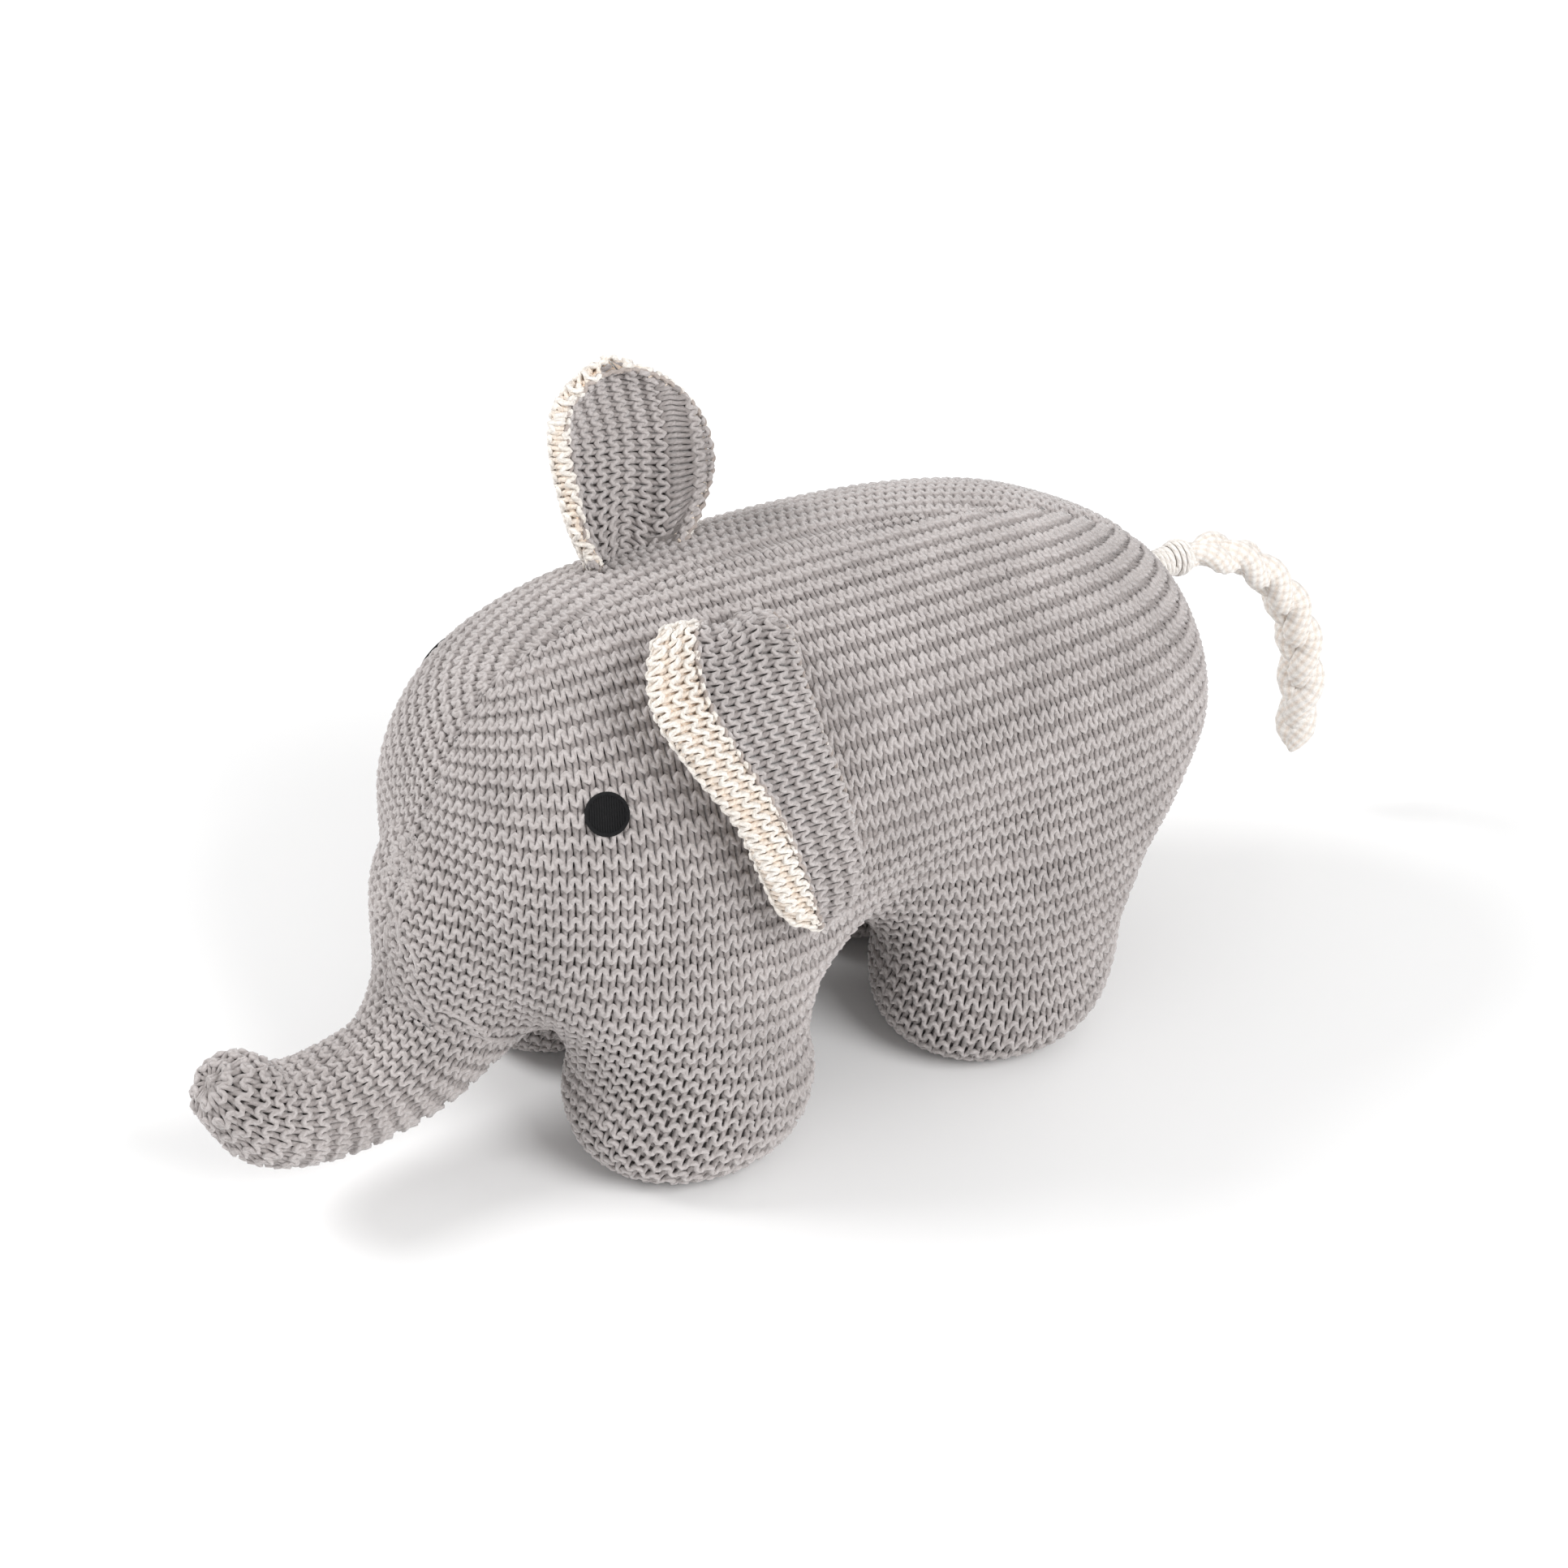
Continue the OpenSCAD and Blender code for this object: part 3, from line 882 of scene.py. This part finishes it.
def chart_rows(whole, v, zone, gathered):
    """Knit one zone: rows are the lines of v, and stitches are counted along them by u."""
    tris = whole.t[zone]
    chart = Surface(whole.p, tris)
    v = v[np.unique(tris)]
    slope = chart.grad(v)
    size = np.linalg.norm(slope, axis=1)
    along = np.cross(chart.n, slope / np.maximum(size, 1e-6)[:, None])
    u = chart.solve(along / STITCH, np.clip(size * ROW, 0.05, 1))
    size = np.clip(size, ROW_SIZES[0] / ROW, ROW_SIZES[1] / ROW)
    wales = chart.at_points(unit(slope) / size[:, None])
    for row, phase, (line, wale) in row_lines(chart, v, u, [chart.p, wales]):
        if (wale * wale).sum(1).mean() < PINCHED:
            continue
        phase = even_phase(phase, line)
        if phase is None:
            continue
        made = loops(row, phase, line, wale)
        if made is not None:
            keep_row(*made, gathered)


def keep_row(line, path, depth, shade, gathered):
    """Settle a row on the form, on its side of the middle seam, and share it among the pieces."""
    path = onto_surface(path, 0.0, 2)
    facing = unit(gradient(path))
    path = path + facing * (depth - seam_dip(path))[:, None]
    path[:, 0] = np.maximum(path[:, 0], SEAM_SIDE)
    number = part_numbers(line)
    number[line[:, 0] < -0.2] = -1
    breaks = np.flatnonzero(np.diff(number)) + 1
    for piece in np.split(np.arange(len(path)), breaks):
        name = number[piece[0]]
        if name < 0 or len(piece) < 4:
            continue
        last = min(piece[-1] + 1, len(path) - 1)
        span = slice(piece[0], last + 1)
        gathered[PARTS[name]].append((path[span], facing[span], shade[span]))


def left_half_mesh():
    """The form's left half and a little past its middle, as points and outward triangles."""
    points, quads, tris = level_surface(body_distance, 0.0, 2.0)
    points = onto_surface(points)
    faces = triangles_of(quads, tris)
    mid = points[faces].mean(1)
    faces = faces[mid[:, 0] > -2.5]
    a, b, c = (points[faces[:, k]] for k in range(3))
    outward = (np.cross(b - a, c - a) * gradient(points[faces].mean(1))).sum(1)
    if np.median(outward) < 0:
        faces = faces[:, ::-1]
    return points, faces


def make_knitting():
    """Every piece of the body's knitting, the right ones as mirrors of the left."""
    gathered = knit_half(*left_half_mesh())
    for side, flip in (("left", 1), ("right", -1)):
        for name in PARTS:
            yarns = Yarns()
            for path, facing, shade in gathered[name]:
                if flip < 0:
                    path, facing = path * MIRROR, facing * MIRROR
                radius = YARN_R * (1 + 0.05 * RNG.standard_normal())
                yarns.add(path, facing, radius, depth=shade[:, None])
            obj = yarns.build(f"{name}_knit_{side}", GREY_YARN)
            if name == "trunk":
                bend_with_trunk(obj)
                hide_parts(f"trunk_skin_{side}")
            else:
                node = "belly_gusset" if "gusset" in name else f"body_skin_{side}"
                place(obj, "root", "knit_grey", node)


def bend_with_trunk(obj):
    """Bake the piece's transform into its mesh; it is not blended with the trunk."""
    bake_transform(obj)


LINING_DEPTH = -1.3
WAD_INSET = 4.2
WAD_GRID = 4.0
TRUNK_WAD_GRID = 3.0
UPPER_WAD_BOTTOM = 46
LEG_WAD_TOP = 45
# Along the trunk from its pivot
HEAD_WAD_END = -14
TRUNK_WAD_START = -4


def make_solid(name, f, level, step, material):
    """One level of a distance function, as a closed smooth piece."""
    points, quads, tris = level_surface(f, level, step)
    return mesh_object(name, to_frame(points), quads, tris, material)


def trunk_only(p):
    """The free part of the trunk, as a distance."""
    return np.maximum(body_distance(p), TRUNK_CUT - trunk_side(p) + 100 * (p[:, 1] > FACE_Y))


def root_only(p):
    """All but the free part of the trunk, as a distance."""
    cut = np.where(p[:, 1] > FACE_Y, -100, trunk_side(p) - TRUNK_CUT)
    return np.maximum(body_distance(p), cut)


def make_linings():
    """The cloth that shows between the loops, coloured darker than the yarn as painted shade."""
    step = 2.0
    body = make_solid("body_lining", root_only, LINING_DEPTH, step, SHADED_GREY_LINING)
    place(body, "root", "knit_grey")
    trunk = make_solid("trunk_lining", trunk_only, LINING_DEPTH, step, SHADED_GREY_LINING)
    bend_with_trunk(trunk)


def cut_fill(keep):
    """A wad of stuffing inside the lining, where keep is negative."""
    return lambda p: np.maximum(body_distance(p) + WAD_INSET, keep(p))


def head_zone(p):
    upper = np.maximum(trunk_side(p) - HEAD_WAD_END, UPPER_WAD_BOTTOM - p[:, 2])
    return np.maximum(p[:, 1] - HEAD_REAR + 0.2, upper)


def torso_zone(p):
    return np.maximum(HEAD_REAR + 0.2 - p[:, 1], UPPER_WAD_BOTTOM - p[:, 2])


def trunk_zone(p):
    return TRUNK_WAD_START - trunk_side(p) + 100 * (p[:, 1] > FACE_Y)


def leg_zone(side, end):
    """Where a leg's wad is: side is 1 on the left and -1 on the right, end is -1 in front."""
    def keep(p):
        inner = 1.0 - side * p[:, 0]
        other = -end * (p[:, 1] - LEG_SPLIT_Y)
        return np.maximum(np.maximum(inner, other), p[:, 2] - LEG_WAD_TOP)
    return keep


def make_fills():
    """The stuffing, one wad for each fill in the CAD."""
    wads = {
        "head_fill": head_zone,
        "torso_fill": torso_zone,
        "leg_fill_front_left": leg_zone(1, -1),
        "leg_fill_front_right": leg_zone(-1, -1),
        "leg_fill_rear_left": leg_zone(1, 1),
        "leg_fill_rear_right": leg_zone(-1, 1),
    }
    for node, keep in wads.items():
        wad = make_solid(node.replace("fill", "wad"), cut_fill(keep), 0.0, WAD_GRID, STUFFING)
        place(wad, "root", "fibre_fill", node)
    trunk = make_solid("trunk_wad", cut_fill(trunk_zone), 0.0, TRUNK_WAD_GRID, STUFFING)
    place(trunk, "trunk", "fibre_fill", "trunk_fill")


# -------- ears

# Ear slices, root to tip: x, y, z, width, lift of the front edge, and its turn away from the head
EARS = {
    "left": (1, [(20.6, -39.5, 129.0, 12, 4, 2), (24.6, -41.8, 132.0, 26, 6, 4),
                 (29.3, -45.9, 132.5, 38, 7, 8), (38, -49.4, 126.5, 43, 6, 12),
                 (46, -47.4, 117, 37, 3, 12), (53, -43.3, 105, 30, 2, 10),
                 (57.2, -40.0, 91, 26, 0, 8), (58.4, -38.2, 81, 23, 0, 6),
                 (58.2, -37.4, 74.6, 19, 0, 4)]),
    "right": (-1, [(-20.5, -38, 127.0, 24, 4, 0), (-24.0, -36.4, 134.0, 36, 10, 4),
                   (-29, -33.4, 143, 45, 15, 6), (-32.5, -32.2, 152.5, 48, 16, 6),
                   (-33, -33.0, 161.0, 47, 14, 4), (-31.5, -34.0, 169.0, 44, 10, 2)]),
}
# How deep the valley along the middle of the ear is at its root and at its tip
EAR_CUP = {"left": (4.5, 0.2), "right": (10.0, 3.5)}
EAR_T = 10.4
# How far round from the front edge, on the grey side, the seam between the two faces lies
EAR_SEAM = {"left": math.radians(72), "right": math.radians(34)}
EAR_KNIT_INSET = 1.1
EAR_YARN = 0.92


class Ear:
    """A pillow form along a centre line: s runs root to tip, the turn runs round its section."""

    def __init__(self, side):
        self.grey_side, slices = EARS[side]
        seam = math.pi - EAR_SEAM[side]
        self.face_turns = {"back": (math.radians(8), seam), "front": (seam, math.radians(368))}
        self.cup = EAR_CUP[side]
        fine = smooth_curve(np.array(slices, float), 12)
        self.line = fine[:, :3]
        self.s = lengths_along(self.line)
        self.length = self.s[-1]
        self.width = fine[:, 3]
        self.lift = np.radians(fine[:, 4])
        self.turn = np.radians(fine[:, 5])
        self.tangent = unit(np.gradient(self.line, axis=0))

    def at(self, field, s):
        """A field of the centre line at distances along it."""
        return np.interp(s, self.s, field) if field.ndim == 1 else between(s, self.s, field)

    def size(self, s):
        """Half the width and half the thickness, both rounded off at the tip."""
        reach = self.at(self.width, s.ravel()).reshape(s.shape) / 2
        tip_length = 0.62 * self.width[-20:].mean()
        tip = np.clip((self.length - s) / tip_length, 0, 1)
        round_off = np.sqrt(np.clip(1 - (1 - tip) ** 2.2, 0, 1))
        thick = EAR_T / 2 * (0.62 + 0.38 * np.clip(s / 12, 0, 1))
        return np.maximum(reach * round_off, 0.4), thick * (0.25 + 0.75 * round_off)

    def frame(self, s):
        """Across the ear, out of its grey face, and along it."""
        lift, turn = self.at(self.lift, s), self.at(self.turn, s)
        across = np.column_stack([np.zeros(len(s)), np.cos(lift), -np.sin(lift)])
        tangent = unit(self.at(self.tangent, s))
        face = unit(np.cross(across, tangent))
        toward = self.grey_side * np.column_stack([-tangent[:, 2], np.zeros(len(s)), tangent[:, 0]])
        face *= np.sign((face * toward).sum(1))[:, None]
        across = across * np.cos(turn)[:, None] - face * np.sin(turn)[:, None]
        ahead = unit(np.cross(across, face))
        return unit(across), unit(np.cross(ahead, across)), tangent

    def point(self, s, turn, inset=0.0):
        """The surface at s and at an angle round the section: 0 rear edge, 90 degrees grey face."""
        across, face, tangent = self.frame(s)
        half, thick = self.size(s)
        half, thick = np.maximum(half - inset, 0.3), np.maximum(thick - inset, 0.25)
        c, d = np.cos(turn), np.sin(turn)
        a = np.sign(c) * np.abs(c) ** 0.8 * half
        f = np.sign(d) * np.abs(d) ** 0.9 * thick
        share = a / np.maximum(half, 1e-6)
        deep = self.cup[0] + (self.cup[1] - self.cup[0]) * np.clip(s / self.length, 0, 1)
        f = f + deep * (share * share - 0.4)
        lump = 5.0 * np.sin(math.pi * np.clip(np.abs(share), 0, 1)) ** 2 * np.exp(-(s / 14) ** 2)
        return self.at(self.line, s) + across * a[:, None] + face * f[:, None] - tangent * lump[:, None]

    def normal(self, s, turn):
        """Which way is out of the surface, by differences over h along and k round."""
        h, k = 0.3, 0.03
        ahead = self.point(np.minimum(s + h, self.length), turn) - self.point(np.maximum(s - h, 0), turn)
        aside = self.point(s, turn + k) - self.point(s, turn - k)
        n = unit(np.cross(aside, ahead))
        middle = self.at(self.line, s)
        return n * np.sign((n * (self.point(s, turn) - middle)).sum(1).mean())


class Face:
    """One face of an ear, with its turns known by their distance from the face's middle line."""

    def __init__(self, ear, side_of_ear):
        low, high = ear.face_turns[side_of_ear]
        self.ear = ear
        self.turns = np.linspace(low, high, 241)
        self.s = np.linspace(0, ear.length - 0.2, 90)
        self.arcs = []
        for at in self.s:
            points = ear.point(np.full(len(self.turns), at), self.turns, EAR_KNIT_INSET)
            arc = lengths_along(points)
            self.arcs.append(arc - arc[-1] / 2)
        self.reach = np.array([arc[-1] for arc in self.arcs])

    def turn_at(self, s, offset):
        """The turns at distances along and across the face, held inside its seams."""
        place = np.interp(s, self.s, np.arange(len(self.s)))
        out = np.empty(len(s))
        for i, (at, off) in enumerate(zip(place, offset)):
            low = min(int(at), len(self.s) - 2)
            share = at - low
            a, b = (np.interp(off, self.arcs[k], self.turns) for k in (low, low + 1))
            out[i] = a + (b - a) * share
        return out


def ear_rows(ear, side_of_ear):
    """Rows of loops that run from the ear's root to its tip and bend round its edges."""
    yarns = Yarns()
    face = Face(ear, side_of_ear)
    count = int(face.reach.max() / ROW)
    for row in range(-count, count + 1):
        inside = face.s[np.abs(row * ROW) < face.reach + 0.5 * ROW]
        if len(inside) < 6:
            continue
        first, last = (math.ceil(v / STITCH * SAMPLES) for v in (inside[0], inside[-1]))
        if last - first < SAMPLES:
            continue
        phase = np.arange(first, last + 1) / SAMPLES
        turn = 2 * math.pi * phase
        s = np.clip((phase + LOOP_LEAN * np.sin(2 * turn)) * STITCH, inside[0], inside[-1])
        reach = np.interp(s, face.s, face.reach) - 0.35
        offset = np.clip(ROW * (row + LOOP_REACH * np.cos(turn)), -reach, reach)
        shade = row_side(row) * np.cos(turn)
        turns = face.turn_at(s, offset)
        normals = ear.normal(s, turns)
        path = ear.point(s, turns, EAR_KNIT_INSET) + normals * (shade * LOOP_DEPTH)[:, None]
        yarns.add(path, normals, YARN_R * EAR_YARN, depth=shade[:, None])
    return yarns


def root_seam(ear, name):
    """The yarn that gathers the ear's root and sews it to the head."""
    angle = np.linspace(0, 4 * math.pi, 90)
    s = 0.5 + 0.5 * np.sin(9 * angle) + angle * 0.06
    path = ear.point(s, angle, 0.3)
    return one_yarn(name, path, unit(path - ear.line[0]), 0.6, 6, GREY_YARN)


def ear_grid(ear, inset, s, turns):
    grid_s, grid_turns = (g.ravel() for g in np.meshgrid(s, turns, indexing="ij"))
    return ear.point(grid_s, grid_turns, inset)


def ear_solid(ear, inset, name, material, span, rows=70):
    """A closed form inside the ear's surface, over a span of its length."""
    sides = 48
    turns = np.linspace(0, 2 * math.pi, sides, endpoint=False)
    points = ear_grid(ear, inset, np.linspace(*span, rows), turns)
    here = np.arange(sides)
    following = (here + 1) % sides
    last = (rows - 1) * sides
    middle = np.array([sides // 4, 3 * sides // 4])
    caps = np.vstack([
        np.column_stack([np.full(sides, len(points)), following, here]),
        np.column_stack([here + last, following + last, np.full(sides, len(points) + 1)])])
    points = np.vstack([points, points[middle].mean(0), points[last + middle].mean(0)])
    return mesh_object(name, to_frame(points), ring_quads(rows, sides), caps, material)


def ear_lining(ear, face, name, material):
    """A thin cloth under the knitting of one face."""
    rows, cols = 70, 48
    s = np.linspace(0, ear.length, rows)
    turns = np.linspace(*ear.face_turns[face], cols)
    points = np.vstack([ear_grid(ear, inset, s, turns) for inset in (2.1, 2.6)])
    return shell_between(points, rows, cols, name, material)


def shell_between(points, rows, cols, name, material):
    """A thin closed sheet from an outer grid of points followed by an inner one."""
    n = rows * cols
    i = (np.arange(rows - 1)[:, None] * cols + np.arange(cols - 1)[None]).ravel()
    top = np.column_stack([i, i + 1, i + cols + 1, i + cols])
    edge = np.concatenate([np.arange(cols), np.arange(1, rows) * cols + cols - 1,
                           (rows - 1) * cols + np.arange(cols - 2, -1, -1),
                           np.arange(rows - 2, 0, -1) * cols])
    following = np.roll(edge, -1)
    wall = np.column_stack([following, edge, edge + n, following + n])
    quads = np.vstack([top, top[:, ::-1] + n, wall])
    return mesh_object(name, to_frame(points), quads, [], material)


def rim_seam(ear, name):
    """The seam between the two faces, round the edge from root to root."""
    s = np.linspace(0.0, ear.length - 0.3, 110)
    rear, front = (ear.point(s, np.full(len(s), turn), 0.35) for turn in ear.face_turns["back"])
    path = smooth_curve(np.vstack([front[::3], rear[::-3]]), 5)
    middle = ear.at(ear.line, np.array([ear.length / 2]))[0]
    facing = unit(path - middle)
    swing = 2 * math.pi * lengths_along(path) / 3.0
    side = unit(np.cross(unit(np.gradient(path, axis=0)), facing))
    path = path + side * (0.45 * np.sin(swing))[:, None] + facing * (0.25 * np.cos(swing))[:, None]
    return one_yarn(name, path, facing, 0.5, 6, RIM_YARN)


def make_ear(side):
    ear = Ear(side)
    body = f"ear_{side}"
    for face, yarn, lining, slot in (("back", GREY_YARN, SHADED_GREY_LINING, "knit_grey"),
                                     ("front", CREAM_YARN, SHADED_CREAM_LINING, "knit_cream")):
        knit = ear_rows(ear, face).build(f"{body}_{face}_knit", yarn)
        place(knit, body, slot, f"{body}_{face}")
        place(ear_lining(ear, face, f"{body}_{face}_lining", lining), body, slot)
    place(rim_seam(ear, f"{body}_rim_seam"), body, "seam_thread")
    place(root_seam(ear, f"{body}_root_seam"), body, "seam_thread")
    cap = ear_solid(ear, 2.7, f"{body}_root_lining", SHADED_GREY_LINING, (0, 2.5), 12)
    place(cap, body, "knit_grey")
    wad = ear_solid(ear, 3.6, f"{body}_wad", STUFFING, (9.0, ear.length))
    place(wad, body, "fibre_fill", f"{body}_wadding")


# -------- eyes and the seam on the back

EYE_POINT = np.array([35.3, -77.3, 105.4])
EYE_R = 4.6
EYE_THREAD_R = 0.34
# How high the threads stand in the eye's middle, and how far they fall to its rim
EYE_RISE = 1.65
EYE_FALL = 0.75


def make_eye(side, flip, shift):
    """Black satin stitch: parallel threads side by side over a low round pad.

    Flip is -1 for the right eye, and shift moves it from where the left one is."""
    centre = onto_surface(EYE_POINT[None] + np.array(shift))[0]
    normal = unit(gradient(centre[None]))[0]
    down = unit(np.cross(normal, [0, 0, 1.0]))
    up = np.cross(down, normal)
    centre, normal, down, up = (v * np.array([flip, 1, 1]) for v in (centre, normal, down, up))
    yarns = Yarns()
    for x in np.arange(-EYE_R + EYE_THREAD_R / 2, EYE_R, EYE_THREAD_R * 1.55):
        reach = math.sqrt(max(EYE_R ** 2 - x ** 2, 0.05))
        y = np.linspace(-1, 1, 15) * reach
        height = EYE_RISE - EYE_FALL * ((x / EYE_R) ** 2 + (y / EYE_R) ** 2) ** 1.5
        path = centre + np.outer(y, up) + x * down + np.outer(height, normal)
        yarns.add(path, normal, EYE_THREAD_R, 6)
    turn = np.linspace(0, 2 * math.pi, 49)
    ring = np.outer(np.cos(turn), down) + np.outer(np.sin(turn), up)
    path = centre + (EYE_R - 0.25) * ring + 1.15 * normal
    yarns.add(path, normal, 0.5, 8)
    eye = yarns.build(f"eye_{side}", EYE_YARN)
    place(eye, "root", "eye_thread", f"eye_{side}")


def make_spine_seam():
    """The overcast thread that closes the two side panels along the back."""
    first, last, stitch = -84.0, 88.0, 3.4
    y = np.arange(first, last, 0.55)
    above = np.interp(y, TORSO_FINE[:, 0], TORSO_FINE[:, 2]) + 4
    path = onto_surface(np.column_stack([np.zeros(len(y)), y, above]), 0.0, 5)
    facing = unit(gradient(path))
    swing = 2 * math.pi * (y - first) / stitch
    path = path + facing * (0.25 * np.cos(swing) - 0.65)[:, None]
    path[:, 0] += 0.75 * np.sin(swing)
    seam = one_yarn("spine_seam", path, facing, 0.42, 5, SEAM_YARN)
    place(seam, "root", "seam_thread", "spine_seam_thread")


def finish_cad_nodes():
    """The knot inside the rump stays as the CAD has it, in the tail's own cotton."""
    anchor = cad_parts["tail_anchor"]
    for slot in anchor.material_slots:
        slot.material = CORD_YARN


make_camera()
make_tail()
make_tail_root()
make_tail_stub()
make_knitting()
make_linings()
make_fills()
make_ear("left")
make_ear("right")
make_eye("left", 1, (0, 0, 0))
make_eye("right", -1, (0, 3, -5))
make_spine_seam()
finish_cad_nodes()
make_floor()
make_light()
